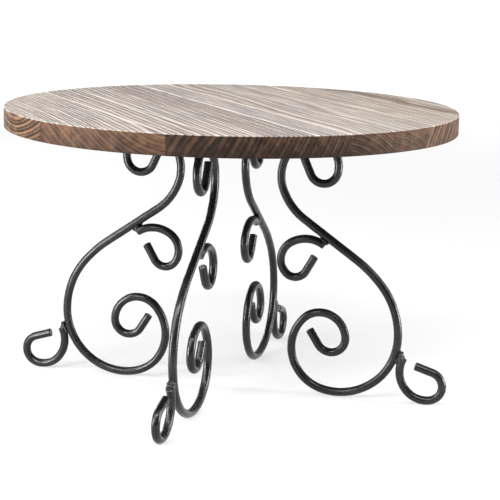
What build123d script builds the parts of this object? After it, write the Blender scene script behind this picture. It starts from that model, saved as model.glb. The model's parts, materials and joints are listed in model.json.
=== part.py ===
from build123d import *
from math import acos, ceil, cos, degrees, radians, sin, sqrt
import os

# Cake stand: a round board of edge-glued strips on four scrolled legs of round bar.
# Millimetres. +Z is up, and the origin is on the floor under the centre of the board.
# The legs stand on the +X, +Y, -X and -Y axes, and each one is flat in its own upright plane.

# Overall size
BOARD_DIAMETER = 298.45
STAND_HEIGHT = 190.5
BOARD_THICKNESS = 13.4
EDGE_EASING = 0.9

# Strips of the board: glue joints, as distances from the centre measured across the grain
GLUE_JOINTS = (-143.4, -92, -66, -42, -10, 12, 44, 73, 118)
ACROSS_GRAIN_ANGLE = 40
STRIP_OVERRUN = 1

# Round bar of the legs, and the gap that a weld fills between two bars.
# Twelve long bars stay light as solids by having flats around them and short runs in their bends.
BAR_DIAMETER = 5.6
BAR_FLATS = 12
LARGEST_STEP = 20
LARGEST_SAG = 0.4
WELD_GAP = 0.2

# Main scroll. Each bend is (radius, turn in degrees) and runs on tangent from the one before.
# It starts level at the crest under the board and comes level again on the floor.
CREST_DISTANCE = 56
NECK_BENDS = ((17.5, 40), (27.5, 70), (39.5, 35.5))
BELLY_BENDS = ((86, 15.5), (54, 39), (41, 91))
LOWER_SCROLL_BENDS = ((41, 13), (28.5, 119), (17, 135.5), (10, 150))
LOWER_SCROLL_END = 12
TOP_CURL_BENDS = ((17.5, 105), (9.6, 141))
TOP_CURL_END = 13

# Inner curl. It starts along the underside of the main scroll's straight and turns down.
INNER_CURL_ALONG = 21
INNER_CURL_BENDS = ((20.7, 71), (13.4, 93), (8.6, 111))
INNER_CURL_END = 12.4

# Foot curl, from its lowest point: back up to the main scroll, and out to its free end
FOOT_CURL_RETURN_BENDS = ((16.6, 47.5), (19.2, 69.5))
FOOT_CURL_BENDS = ((16.6, 14.5), (9.7, 148.5))
FOOT_CURL_END = 12.4
FOOT_CURL_SPACING = 6.1

# Weld beads, eight-sided: along the valley between two bars, and round the crest under the tab
WELD_SIDES = 8
CURL_WELD_RADIUS = 3.6
CURL_WELD_LENGTH = 7
CURL_WELD_OVERHANG = 2
TAB_WELD_RADIUS = 6
TAB_WELD_DEPTH = 2.6
TAB_WELD_BEVEL = 1.2

# Steel tab on the crest of each leg, screwed up into the board
TAB_LENGTH = 50
TAB_WIDTH = 18
TAB_THICKNESS = 2
TAB_CORNER = 4
TAB_HOLE_DIAMETER = 4.4
TAB_HOLE_SPACING = 34

# Pan-head wood screws, with flats like the bars
SCREW_DIAMETER = 3.5
SCREW_SIDES = 12
SCREW_HEAD_DIAMETER = 7.6
SCREW_HEAD_HEIGHT = 2.2
SCREW_HEAD_BEVEL = 1
SCREW_DEPTH_IN_BOARD = 10
SCREW_POINT_BEVEL = 1.2

LEG_NAMES = ("right", "back", "left", "front")
LEFT_TURN = 1
RIGHT_TURN = -1

# Levels and lengths that follow
bar_radius = BAR_DIAMETER / 2
board_radius = BOARD_DIAMETER / 2
board_underside = STAND_HEIGHT - BOARD_THICKNESS
tab_underside = board_underside - TAB_THICKNESS
crest_height = tab_underside - WELD_GAP - bar_radius
outward = Vector(1, 0)
inward = Vector(-1, 0)
from_below = (Align.CENTER, Align.CENTER, Align.MIN)


def chain(point, heading, bends, side):
    """Tangent arcs in the leg's plane (X outward, Y up), with the point and heading they reach."""
    arcs = []
    for radius, turn in bends:
        arc = JernArc(point, heading, radius, side * turn)
        arcs.append(arc)
        point = arc @ 1
        heading = arc % 1
    return arcs, point, heading


def rise_of(bends, heading, side):
    """Height that a chain of arcs gains, from its first heading in degrees."""
    rise = 0
    for radius, turn in bends:
        next_heading = heading + side * turn
        rise += side * radius * (cos(radians(heading)) - cos(radians(next_heading)))
        heading = next_heading
    return rise


def total_turn(bends):
    return sum(turn for radius, turn in bends)


def runs_of(edge):
    """Points along an edge, without its first: one for a straight, and one per short run of a bend."""
    if edge.geom_type == GeomType.LINE:
        return [edge @ 1]
    step = min(LARGEST_STEP, degrees(2 * acos(1 - LARGEST_SAG / edge.radius)))
    count = ceil(degrees(edge.length / edge.radius) / step)
    return [edge @ (number / count) for number in range(1, count + 1)]


def bar_points(edges):
    """Points of a bar's centre line along a chain of edges."""
    points = [edges[0] @ 0]
    for edge in edges:
        points.extend(runs_of(edge))
    return points


def joined(branch, other_branch):
    """Points of two branches that leave one point, from the end of one to the end of the other."""
    return [*reversed(branch), *other_branch[1:]]


def round_bar(points):
    """Bar with square ends along the points of its centre line, stood up in the XZ plane."""
    path = Plane.XZ * Polyline(points)
    section = RegularPolygon(bar_radius, BAR_FLATS, major_radius=False, rotation=180 / BAR_FLATS)
    start = Plane(path @ 0, x_dir=(0, 1, 0), z_dir=path % 0)
    return sweep(start * section, path=path, transition=Transition.RIGHT)


def straight_length():
    """Length of the main scroll's straight, so that crest and lowest point keep their levels."""
    slope = 180 + total_turn(NECK_BENDS)
    curved_rise = rise_of(NECK_BENDS, 180, LEFT_TURN) + rise_of(BELLY_BENDS, slope, RIGHT_TURN)
    return (bar_radius - crest_height - curved_rise) / sin(radians(slope))


def main_scroll_points():
    """Centre line of the main scroll: top curl, neck, straight, belly and lower scroll."""
    crest = Vector(CREST_DISTANCE, crest_height)
    top_curl, curl_end, curl_heading = chain(crest, outward, TOP_CURL_BENDS, RIGHT_TURN)
    top_end = Line(curl_end, curl_end + curl_heading * TOP_CURL_END)
    neck, neck_end, slope = chain(crest, inward, NECK_BENDS, LEFT_TURN)
    straight = Line(neck_end, neck_end + slope * straight_length())
    belly, lowest, _ = chain(straight @ 1, slope, BELLY_BENDS, RIGHT_TURN)
    scroll, scroll_end, scroll_heading = chain(lowest, inward, LOWER_SCROLL_BENDS, RIGHT_TURN)
    low_end = Line(scroll_end, scroll_end + scroll_heading * LOWER_SCROLL_END)
    upper = bar_points([*top_curl, top_end])
    lower = bar_points([*neck, straight, *belly, *scroll, low_end])
    return joined(upper, lower)


def neck_bottom():
    """Point where the neck runs into the main scroll's straight, and the way down the straight."""
    crest = Vector(CREST_DISTANCE, crest_height)
    _, point, slope = chain(crest, inward, NECK_BENDS, LEFT_TURN)
    return point, slope


def lower_scroll_centre():
    """Centre of the largest bend of the main scroll, which rests on the floor."""
    point, slope = neck_bottom()
    _, lowest, _ = chain(point + slope * straight_length(), slope, BELLY_BENDS, RIGHT_TURN)
    return lowest + Vector(0, BELLY_BENDS[-1][0])


def inner_curl_start():
    """Start of the inner curl's centre line, beside the straight, and its heading back up it."""
    point, slope = neck_bottom()
    below = slope.rotate(Axis.Z, -90)
    start = point + slope * INNER_CURL_ALONG + below * (BAR_DIAMETER + WELD_GAP)
    return start, -slope


def inner_curl_points():
    start, heading = inner_curl_start()
    curl, end, end_heading = chain(start, heading, INNER_CURL_BENDS, LEFT_TURN)
    return bar_points([*curl, Line(end, end + end_heading * INNER_CURL_END)])


def foot_curl_lowest():
    """Lowest point of the foot curl's centre line, set so that its start lies beside the main scroll."""
    centre = lower_scroll_centre()
    start_height = bar_radius + rise_of(FOOT_CURL_RETURN_BENDS, 180, RIGHT_TURN)
    start_radius = BELLY_BENDS[-1][0] + FOOT_CURL_SPACING
    start_distance = centre.X + sqrt(start_radius**2 - (centre.Y - start_height) ** 2)
    _, start_from_lowest, _ = chain(Vector(0, 0), inward, FOOT_CURL_RETURN_BENDS, RIGHT_TURN)
    return Vector(start_distance - start_from_lowest.X, bar_radius)


def foot_curl_start():
    """Start of the foot curl's centre line, and its heading down towards the floor."""
    _, start, heading_back = chain(foot_curl_lowest(), inward, FOOT_CURL_RETURN_BENDS, RIGHT_TURN)
    return start, -heading_back


def foot_curl_points():
    """Centre line of the foot curl, from beside the main scroll round to its free end."""
    lowest = foot_curl_lowest()
    back, _, _ = chain(lowest, inward, FOOT_CURL_RETURN_BENDS, RIGHT_TURN)
    curl, end, end_heading = chain(lowest, outward, FOOT_CURL_BENDS, LEFT_TURN)
    return joined(bar_points(back), bar_points([*curl, Line(end, end + end_heading * FOOT_CURL_END)]))


def weld_bead(start, heading, spacing, bars):
    """Bead along the valley between a curl's start and the main scroll, which lies to its right."""
    toward_scroll = heading.rotate(Axis.Z, -90)
    foot = start + toward_scroll * (spacing / 2) - heading * CURL_WELD_OVERHANG
    valley = Plane(Vector(foot.X, 0, foot.Y), x_dir=(0, 1, 0), z_dir=Vector(heading.X, 0, heading.Y))
    section = RegularPolygon(CURL_WELD_RADIUS, WELD_SIDES, rotation=180 / WELD_SIDES)
    bead = extrude(valley * section, CURL_WELD_LENGTH)
    for bar in bars:
        bead -= bar
    return bead


def tab_weld(main_scroll):
    """Shallow bead under the tab, around the crest of the main scroll."""
    outline = RegularPolygon(TAB_WELD_RADIUS, WELD_SIDES, rotation=180 / WELD_SIDES)
    bead = extrude(outline, -TAB_WELD_DEPTH)
    bead = chamfer(bead.faces().sort_by(Axis.Z)[0].edges(), TAB_WELD_BEVEL)
    return Pos(CREST_DISTANCE, 0, tab_underside) * bead - main_scroll


def screw_places():
    """The two screws of the leg on the +X axis."""
    return [Pos(CREST_DISTANCE, side * TAB_HOLE_SPACING / 2, tab_underside) for side in (-1, 1)]


def mounting_tab():
    """Flat steel tab with cut corners and two screw holes."""
    plate = chamfer(Rectangle(TAB_WIDTH, TAB_LENGTH).vertices(), TAB_CORNER)
    tab = Pos(CREST_DISTANCE, 0, tab_underside) * extrude(plate, TAB_THICKNESS)
    for place in screw_places():
        tab -= place * Cylinder(TAB_HOLE_DIAMETER / 2, TAB_THICKNESS, align=from_below)
    return tab


def screw_shank():
    """Shank and bevelled point of a wood screw, up from the underside of its head at the origin."""
    section = RegularPolygon(SCREW_DIAMETER / 2, SCREW_SIDES)
    shank = extrude(section, TAB_THICKNESS + SCREW_DEPTH_IN_BOARD)
    return chamfer(shank.faces().sort_by(Axis.Z)[-1].edges(), SCREW_POINT_BEVEL)


def wood_screw():
    """Pan-head wood screw that points up, with the underside of its head at the origin."""
    head = extrude(RegularPolygon(SCREW_HEAD_DIAMETER / 2, SCREW_SIDES), -SCREW_HEAD_HEIGHT)
    head = chamfer(head.faces().sort_by(Axis.Z)[0].edges(), SCREW_HEAD_BEVEL)
    return head + screw_shank()


def board_blank():
    """The whole round board with eased edges."""
    disc = Pos(0, 0, board_underside) * Cylinder(board_radius, BOARD_THICKNESS, align=from_below)
    return chamfer(disc.edges().filter_by(GeomType.CIRCLE), EDGE_EASING)


def board_strips(pilot_holes):
    """The glued strips of the board, from one side to the other across the grain."""
    blank = board_blank()
    reach = board_radius + STRIP_OVERRUN
    edges = (-reach, *GLUE_JOINTS, reach)
    strips = []
    for near, far in zip(edges[:-1], edges[1:]):
        slab = Pos((near + far) / 2, 0, board_underside) * Box(
            far - near, 2 * reach, BOARD_THICKNESS, align=from_below
        )
        strip = blank & (Rot(0, 0, ACROSS_GRAIN_ANGLE) * slab)
        for hole in pilot_holes:
            strip -= hole
        strips.append(strip)
    return strips


def leg_pieces():
    """The pieces of one leg, on the +X axis, by name."""
    main_scroll = round_bar(main_scroll_points())
    inner_curl = round_bar(inner_curl_points())
    foot_curl = round_bar(foot_curl_points())
    inner_spacing = BAR_DIAMETER + WELD_GAP
    inner_weld = weld_bead(*inner_curl_start(), inner_spacing, (main_scroll, inner_curl))
    foot_weld = weld_bead(*foot_curl_start(), FOOT_CURL_SPACING, (main_scroll, foot_curl))
    return {
        "main_scroll": main_scroll,
        "inner_curl": inner_curl,
        "foot_curl": foot_curl,
        "inner_curl_weld": inner_weld,
        "foot_curl_weld": foot_weld,
        "tab_weld": tab_weld(main_scroll),
        "mounting_tab": mounting_tab(),
    }


def save(name, shape):
    shape.label = name
    export_step(shape, f"parts/{name}.step")


def build():
    os.makedirs("parts", exist_ok=True)
    turns = [Rot(0, 0, 90 * step) for step in range(len(LEG_NAMES))]
    places = [turn * place for turn in turns for place in screw_places()]
    pilot_holes = [place * screw_shank() for place in places]
    for number, strip in enumerate(board_strips(pilot_holes), start=1):
        save(f"board_strip_{number}", strip)
    pieces = leg_pieces()
    for leg_name, turn in zip(LEG_NAMES, turns):
        for piece_name, piece in pieces.items():
            save(f"{leg_name}_{piece_name}", turn * piece)
    save("tab_screws", Compound(children=[place * wood_screw() for place in places]))


build()
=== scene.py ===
"""Looks of a round cake stand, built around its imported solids.

A board of glued softwood strips, brushed and limed on top and browned round its rim, lies on
four scrolled legs bent from round black bar. Sizes are millimetres until a piece is finished.
"""

import json
import logging
import math
import random
from collections.abc import Iterable
from dataclasses import dataclass
from enum import Enum
from functools import lru_cache
from typing import NamedTuple

import bmesh
import bpy
from mathutils import Matrix, Vector, noise

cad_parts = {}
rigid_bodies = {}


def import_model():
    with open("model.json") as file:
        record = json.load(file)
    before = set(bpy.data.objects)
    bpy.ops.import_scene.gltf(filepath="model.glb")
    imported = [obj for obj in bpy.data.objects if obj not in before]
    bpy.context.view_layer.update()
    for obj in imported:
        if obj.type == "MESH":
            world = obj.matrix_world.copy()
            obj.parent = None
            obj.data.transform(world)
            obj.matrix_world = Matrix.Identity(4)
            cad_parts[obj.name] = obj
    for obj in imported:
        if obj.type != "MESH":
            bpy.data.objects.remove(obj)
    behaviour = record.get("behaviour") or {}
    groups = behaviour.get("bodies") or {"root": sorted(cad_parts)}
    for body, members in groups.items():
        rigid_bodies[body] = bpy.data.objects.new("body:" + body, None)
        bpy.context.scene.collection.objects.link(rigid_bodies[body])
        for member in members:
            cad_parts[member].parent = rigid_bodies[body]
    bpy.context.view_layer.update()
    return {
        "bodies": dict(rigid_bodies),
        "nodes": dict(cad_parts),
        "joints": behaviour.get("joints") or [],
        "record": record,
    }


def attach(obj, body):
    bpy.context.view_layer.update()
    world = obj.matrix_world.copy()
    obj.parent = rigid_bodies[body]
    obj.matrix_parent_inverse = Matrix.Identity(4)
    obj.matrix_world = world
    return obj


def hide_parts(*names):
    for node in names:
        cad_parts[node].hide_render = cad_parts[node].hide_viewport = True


LOG = logging.getLogger("cake_stand")
MM = 0.001
BODY = "root"
THIN_PAINT = "thin_paint"
CUT_SNAP = 1e-4
LEVEL_SNAP = 1e-3
LOOKS_UP = 0.95

Pair = tuple[float, float]
Triple = tuple[float, float, float]
Colour = Triple
Spot = Triple | Vector
BMesh = bmesh.types.BMesh
BMVert = bmesh.types.BMVert
BMEdge = bmesh.types.BMEdge
BMFace = bmesh.types.BMFace
Faces = list[BMFace]
Socket = bpy.types.NodeSocket


class Slot(Enum):
    """Names of the record's material slots."""

    WOOD = "board_wood"
    BAR = "black_bar"
    SCREW = "screw_steel"


class Leg(Enum):
    """The four legs, each with its turn about the upright axis in degrees."""

    RIGHT = 0
    BACK = 90
    LEFT = 180
    FRONT = 270

    def node(self, part: str) -> str:
        """Name of this leg's solid or piece for a part of the leg."""
        return f"{self.name.lower()}_{part}"

    def turn(self) -> Matrix:
        """Turn that carries the right leg's pieces to this leg."""
        return Matrix.Rotation(math.radians(self.value), 4, "Z")


class Side(Enum):
    """The side that a bend turns to, seen in the leg's plane with the board above."""

    LEFT = 1
    RIGHT = -1


# ---- Shader maths ----


class Value:
    """A number that varies over a surface. Expressions on it add Math nodes."""

    def __init__(self, book: "NodeBook", socket: Socket) -> None:
        """Keeps the socket and the node book that new nodes go into."""
        self.book = book
        self.socket = socket

    def _math(self, operation: str, *terms: "Value | float") -> "Value":
        """Adds one Math node whose inputs are the terms in order."""
        return self.book.value("ShaderNodeMath", {"operation": operation}, dict(enumerate(terms)))

    def __add__(self, other: "Value | float") -> "Value":
        """Sum."""
        return self._math("ADD", self, other)

    def __radd__(self, other: float) -> "Value":
        """Sum with a number in front."""
        return self._math("ADD", other, self)

    def __sub__(self, other: "Value | float") -> "Value":
        """Difference."""
        return self._math("SUBTRACT", self, other)

    def __rsub__(self, other: float) -> "Value":
        """Difference from a number."""
        return self._math("SUBTRACT", other, self)

    def __mul__(self, other: "Value | float") -> "Value":
        """Product."""
        return self._math("MULTIPLY", self, other)

    def __rmul__(self, other: float) -> "Value":
        """Product with a number in front."""
        return self._math("MULTIPLY", other, self)

    def fraction(self) -> "Value":
        """Part after the decimal point."""
        return self._math("FRACT", self)

    def clamped(self) -> "Value":
        """The value held between 0 and 1."""
        return self.rise(0, 1, "LINEAR")

    def rise(self, low: float, high: float, curve: str = "SMOOTHSTEP") -> "Value":
        """Goes from 0 to 1 as the value goes from low to high, and stays there outside.

        Args:
            low: Value that gives 0.
            high: Value that gives 1.
            curve: Interpolation of the Map Range node.

        Returns:
            The new value.
        """
        settings = {"interpolation_type": curve}
        inputs = {"Value": self, "From Min": low, "From Max": high}
        return self.book.value("ShaderNodeMapRange", settings, inputs)


class NodeBook:
    """The node tree of one material, and the one way that nodes get into it."""

    def __init__(self, name: str) -> None:
        """Starts a new material with an empty tree.

        Args:
            name: The material's name.
        """
        self.material = bpy.data.materials.new(name)
        self.material.use_nodes = True
        self.tree = self.material.node_tree
        self.tree.nodes.clear()

    def node(self, kind: str, settings: dict, inputs: dict) -> bpy.types.Node:
        """Adds a node.

        Args:
            kind: The node's type.
            settings: Its properties.
            inputs: Values or links of its sockets, by name or place.

        Returns:
            The node.
        """
        made = self.tree.nodes.new(kind)
        for key, setting in settings.items():
            setattr(made, key, setting)
        for key, item in inputs.items():
            socket = made.inputs[key]
            item = item.socket if isinstance(item, Value) else item
            if isinstance(item, Socket):
                self.tree.links.new(item, socket)
            elif socket.type == "RGBA":
                socket.default_value = (*item, 1.0)
            else:
                socket.default_value = item
        return made

    def value(self, kind: str, settings: dict, inputs: dict, out: int | str = 0) -> Value:
        """Adds a node and wraps its output of a name or place for maths."""
        return Value(self, self.node(kind, settings, inputs).outputs[out])

    def attribute(self, name: str) -> Value:
        """A number that the mesh carries at its points."""
        return self.value("ShaderNodeAttribute", {"attribute_name": name}, {}, "Fac")

    def _mapped(self, inputs: dict) -> Socket:
        """Coordinates after a Mapping node with these inputs."""
        return self.node("ShaderNodeMapping", {"vector_type": "POINT"}, inputs).outputs[0]

    def place(self, turn: float = 0.0, scale: Triple = (1.0,) * 3, shift: Triple = (0.0,) * 3) -> Socket:
        """Object coordinates, turned about the upright axis and then scaled.

        Args:
            turn: Angle in degrees that turns the pattern's X axis onto the piece.
            scale: Repeats per metre along each turned axis.
            shift: Added after the scaling, which moves a pattern to another part of its noise.

        Returns:
            The coordinates' socket.
        """
        here = self.node("ShaderNodeTexCoord", {}, {}).outputs["Object"]
        turned = self._mapped({"Vector": here, "Rotation": (0.0, 0.0, math.radians(-turn))})
        return self._mapped({"Vector": turned, "Scale": scale, "Location": shift})

    def noise(self, place: Socket, detail: float, roughness: float = 0.5) -> Value:
        """Smooth noise around 0.5 with features one unit wide. Detail counts its finer layers."""
        inputs = {"Vector": place, "Scale": 1.0, "Detail": detail, "Roughness": roughness}
        return self.value("ShaderNodeTexNoise", {"noise_dimensions": "3D"}, inputs)

    def cloud(self, size: float, detail: float, roughness: float, shift: Triple = (0.0,) * 3) -> Value:
        """Noise that is the same in all directions, with features of a size in millimetres."""
        return self.noise(self.place(scale=(1 / (size * MM),) * 3, shift=shift), detail, roughness)

    def mix(self, share: Value, first: Colour | Socket, second: Colour | Socket) -> Socket:
        """Mixes two colours: all of the first where the share is 0, all of the second where it is 1."""
        inputs = {0: share, 6: first, 7: second}
        return self.node("ShaderNodeMix", {"data_type": "RGBA"}, inputs).outputs[2]

    def bump(self, height: Value, depth: float, strength: float) -> Socket:
        """Normal of a surface whose relief goes from 0 to 1 over a depth in millimetres."""
        inputs = {"Height": height, "Distance": depth * MM, "Strength": strength}
        return self.node("ShaderNodeBump", {}, inputs).outputs[0]

    def surface(self, inputs: dict) -> bpy.types.Material:
        """Closes the material with a Principled shader.

        Args:
            inputs: Values or links of the shader's sockets.

        Returns:
            The material.
        """
        shader = self.node("ShaderNodeBsdfPrincipled", {}, inputs)
        self.node("ShaderNodeOutputMaterial", {}, {"Surface": shader.outputs[0]})
        return self.material


# ---- Finishes ----


class Fibres(NamedTuple):
    """Noises that are drawn out along the grain."""

    fine: Value
    stroke: Value
    band: Value
    patch: Value


@dataclass(frozen=True)
class LimedSoftwood:
    """Brushed softwood: lime in the grooves on top, browned rim, oiled underside.

    The mesh carries the growth rings as a running number, how strongly they show on top and on
    the rim, the strip's tone and warmth, how far a point belongs to the limed top, how deep it
    lies, how smoked the rim is, partly as real scorch and partly as painted shade, and how near
    it is to a glue joint or to a lime-filled line.
    Sizes of fibres are their widths across the grain and their lengths along it.
    """

    name: str = "limed_softwood"
    grain_turn: float = 40.0
    fine_size: Pair = (0.5, 26)
    stroke_size: Pair = (1.15, 48)
    band_size: Pair = (6, 150)
    patch_size: Pair = (24, 95)
    stain_size: float = 6
    grit_size: float = 1.3
    relief: float = 0.22
    cool_lime: Colour = (0.335, 0.308, 0.29)
    warm_lime: Colour = (0.372, 0.314, 0.262)
    bright_lime: Colour = (0.50, 0.452, 0.405)
    line_lime: Colour = (0.76, 0.70, 0.635)
    cool_stain: Colour = (0.195, 0.178, 0.172)
    warm_stain: Colour = (0.225, 0.172, 0.132)
    late_stain: Colour = (0.12, 0.094, 0.078)
    # Where the smoke number is low the rim is painted pale, partly as real unscorched wood and partly as
    # painted light on the outer strips; the scorch colour darkens it for real scorch and painted shade.
    rim_pale: Colour = (0.19, 0.107, 0.058)
    rim_early: Colour = (0.137, 0.074, 0.041)
    rim_red: Colour = (0.105, 0.049, 0.032)
    rim_late: Colour = (0.027, 0.0145, 0.009)
    rim_scorch_and_shade: Colour = (0.009, 0.0064, 0.0053)

    def material(self) -> bpy.types.Material:
        """Builds the material.

        Returns:
            The material.
        """
        book = NodeBook(self.name)
        fibres = Fibres(
            fine=self._drawn_out(book, self.fine_size, 3.1),
            stroke=self._drawn_out(book, self.stroke_size, 11.7),
            band=self._drawn_out(book, self.band_size, 5.3),
            patch=self._drawn_out(book, self.patch_size, 21.9, 1.0),
        )
        fine, stroke, band, patch = fibres
        rings = book.attribute("rings") + (fine - 0.5) * 0.10 + (stroke - 0.5) * 0.14
        late = self._late(rings)
        heavy = self._late(rings * 0.5 + band * 0.15)
        edge = (book.attribute("top") + (fine - 0.5) * 0.3).rise(0.2, 0.6)
        figure = book.attribute("figure")
        face = self._face(book, late * figure, heavy * figure, fibres)
        rim = self._rim(book, (late * 0.6 + heavy * 0.45) * book.attribute("rim_figure"), patch)
        relief = (1 - late * 0.6 - heavy * 0.4) * 0.55 + fine * 0.3 + stroke * 0.25
        return book.surface({
            "Base Color": book.mix(edge, rim, face),
            "Roughness": 0.68 + edge * 0.14 + (fine - 0.5) * 0.15,
            "Specular IOR Level": 0.13,
            "Normal": book.bump(1 - relief, self.relief, 0.8),
        })

    def _drawn_out(self, book: NodeBook, size: Pair, seed: float, detail: float = 2.0) -> Value:
        """Noise with features of a width and a length along the grain. The seed shifts it."""
        across, along = (1 / (length * MM) for length in size)
        return book.noise(book.place(self.grain_turn, (across, along, across), (seed, seed, 0.0)), detail)

    @staticmethod
    def _late(rings: Value) -> Value:
        """Share of dark late wood for a running ring number."""
        part = rings.fraction()
        return part.rise(0.34, 0.84) * (1 - part.rise(0.93, 1.0))

    def _face(self, book: NodeBook, late: Value, heavy: Value, fibres: Fibres) -> Socket:
        """Colour of the limed top.

        Args:
            book: The material's node book.
            late: Share of late wood in each ring.
            heavy: Share of late wood in every other ring.
            fibres: Noises along the grain.

        Returns:
            The colour's socket.
        """
        fine, stroke, band, patch = fibres
        warm = (band * 0.9 + patch * 1.5 - 0.75 + book.attribute("warmth")).clamped()
        stain = book.mix(warm, self.cool_stain, self.warm_stain)
        bare = book.mix((late * 0.75 + heavy * 0.25).clamped(), stain, self.late_stain)
        lime = book.mix(warm, self.cool_lime, self.warm_lime)
        thick = (stroke * 0.6 + fine * 0.5 - heavy * 0.1 - late * 0.3).rise(0.36, 0.64)
        lime = book.mix(thick, lime, self.bright_lime)
        filled = 1.0 - late * 0.66 - heavy * 0.2 + (stroke - 0.5) * 0.95 + (fine - 0.5) * 0.95
        filled = filled + (band - 0.5) * 0.35 + (patch - 0.5) * 0.35 + book.attribute("tone")
        face = book.mix(filled.clamped() * 0.95, bare, lime)
        line = book.attribute("line") * (0.55 + band * 0.8)
        return book.mix(line.clamped(), face, self.line_lime)

    def _rim(self, book: NodeBook, late: Value, patch: Value) -> Socket:
        """Colour of the browned rim and underside, with real scorch and with painted shade and light.

        Args:
            book: The material's node book.
            late: Share of late wood, by how strongly it shows.
            patch: Wide patches.

        Returns:
            The colour's socket.
        """
        stain = book.cloud(self.stain_size, 3.0, 0.6, (4.0, 1.0, 8.0))
        grit = book.cloud(self.grit_size, 2.0, 0.6, (1.0, 6.0, 2.0))
        # The smoke number is partly real scorch and partly painted shade; where it is low the rim is
        # painted pale, partly as painted light.
        smoke = book.attribute("smoke")
        base = book.mix((stain * 2.2 - 0.75).clamped(), self.rim_early, self.rim_red)
        base = book.mix(smoke.rise(-0.1, 0.25), self.rim_pale, base)
        depth = late * (stain * 2.2 + patch * 0.9 - 0.45 - smoke * 0.5) + (grit - 0.5) * 0.8
        browned = book.mix(depth.clamped(), base, self.rim_late)
        # The rim is darkened partly by real scorch and partly by painted shade, and by the ring lines and
        # stains.
        darkening = smoke + (late - 0.35) * 0.3 + (stain - 0.5) * 0.9 + (patch - 0.5) * 0.3
        # Darker towards the bottom of the rim.
        darkening = darkening + (book.attribute("depth") - 0.45) * 0.4
        rim = book.mix(darkening.clamped() * 0.82, browned, self.rim_scorch_and_shade)
        return book.mix(book.attribute("joint").rise(0.5, 0.95) * 0.5, rim, self.rim_late)


@dataclass(frozen=True)
class HammeredBlack:
    """Satin black paint on beaten bar: rubbed where it stands high, thin where the bar was cut."""

    name: str
    relief: float = 0.06
    pitch: float = 0.95
    grit_size: float = 0.42
    cloud_size: float = 19
    paint: Colour = (0.006, 0.006, 0.0066)
    worn: Colour = (0.034, 0.033, 0.034)
    cut: Colour = (0.22, 0.22, 0.225)
    gloss_roughness: float = 0.22

    def material(self) -> bpy.types.Material:
        """Builds the material.

        Returns:
            The material.
        """
        book = NodeBook(self.name)
        dents = book.cloud(self.pitch, 2.0, 0.55)
        grit = book.cloud(self.grit_size, 3.0, 0.6, (7.0, 3.0, 1.0))
        cloud = book.cloud(self.cloud_size, 3.0, 0.55, (2.0, 9.0, 4.0))
        rubbed = (dents * 0.6 + grit * 0.5 + cloud * 0.5).rise(0.78, 1.02)
        skin = book.mix(rubbed * 0.75, self.paint, self.worn)
        thin = book.attribute(THIN_PAINT) * (dents * 0.6 + grit * 0.8).rise(0.45, 0.85)
        dull = (cloud - 0.5) * 0.22 + (grit - 0.5) * 0.16 + rubbed * 0.1
        return book.surface({
            "Base Color": book.mix(thin, skin, self.cut),
            "Roughness": self.gloss_roughness + dull,
            "Specular IOR Level": 0.3,
            "Coat Weight": 0.1,
            "Coat Roughness": 0.12,
            "Normal": book.bump(dents * 0.8 + grit * 0.2, self.relief, 0.9),
        })


@dataclass(frozen=True)
class BrightZinc:
    """Zinc plating of the screws, slightly clouded and gritty."""

    name: str = "bright_zinc"
    cloud_size: float = 2.4
    grit_size: float = 0.25
    relief: float = 0.02
    light: Colour = (0.62, 0.63, 0.65)
    dull: Colour = (0.36, 0.35, 0.33)

    def material(self) -> bpy.types.Material:
        """Builds the material.

        Returns:
            The material.
        """
        book = NodeBook(self.name)
        cloud = book.cloud(self.cloud_size, 3.0, 0.6)
        grit = book.cloud(self.grit_size, 2.0, 0.5)
        return book.surface({
            "Base Color": book.mix(cloud.rise(0.42, 0.68), self.light, self.dull),
            "Metallic": 0.95,
            "Roughness": 0.24 + cloud * 0.25,
            "Normal": book.bump(grit, self.relief, 0.6),
        })


@dataclass(frozen=True)
class LitTable:
    """Pale table top that is lit from below, and more so far from the stand.

    The near and far distances from the stand's axis are in metres.
    """

    name: str = "lit_table"
    cloud_size: float = 400
    near: float = 0.5
    far: float = 2.2
    light: Colour = (0.37, 0.37, 0.37)
    dark: Colour = (0.355, 0.355, 0.355)
    near_glow: Colour = (0.54, 0.54, 0.54)
    far_glow: Colour = (0.93, 0.93, 0.93)

    def material(self) -> bpy.types.Material:
        """Builds the material.

        Returns:
            The material.
        """
        book = NodeBook(self.name)
        cloud = book.cloud(self.cloud_size, 2.0, 0.5)
        away = book.value("ShaderNodeVectorMath", {"operation": "LENGTH"}, {0: book.place()}, "Value")
        return book.surface({
            "Base Color": book.mix(cloud, self.light, self.dark),
            "Roughness": 0.92,
            "Specular IOR Level": 0.1,
            "Emission Color": book.mix(away.rise(self.near, self.far), self.near_glow, self.far_glow),
            "Emission Strength": 1.0,
        })


Finish = LimedSoftwood | HammeredBlack | BrightZinc | LitTable


@lru_cache(maxsize=None)
def material_of(finish: Finish) -> bpy.types.Material:
    """The finish's material, built once."""
    return finish.material()


SOFTWOOD = LimedSoftwood()
BAR_PAINT = HammeredBlack("bar_paint")
WELD_PAINT = HammeredBlack(
    "weld_paint", relief=0.24, pitch=0.9, worn=(0.09, 0.088, 0.088), gloss_roughness=0.25
)
TAB_PAINT = HammeredBlack("tab_paint", relief=0.03, pitch=3.5)
ZINC = BrightZinc()
TABLE = LitTable()


# ---- Shaping and finishing a piece ----


def share(number: float, low: float, high: float) -> float:
    """How far a number is on its way from low to high, held between 0 and 1."""
    return max(0.0, min(1.0, (number - low) / (high - low)))


def once(items: Iterable) -> list:
    """The items in order, each of them once."""
    return list(dict.fromkeys(items))


def inner_steps(low: float, high: float, longest: float) -> list[float]:
    """Places between two ends that divide the way into equal steps, none above the longest."""
    count = math.ceil((high - low) / longest)
    return [low + (high - low) * step / count for step in range(1, count)]


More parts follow.
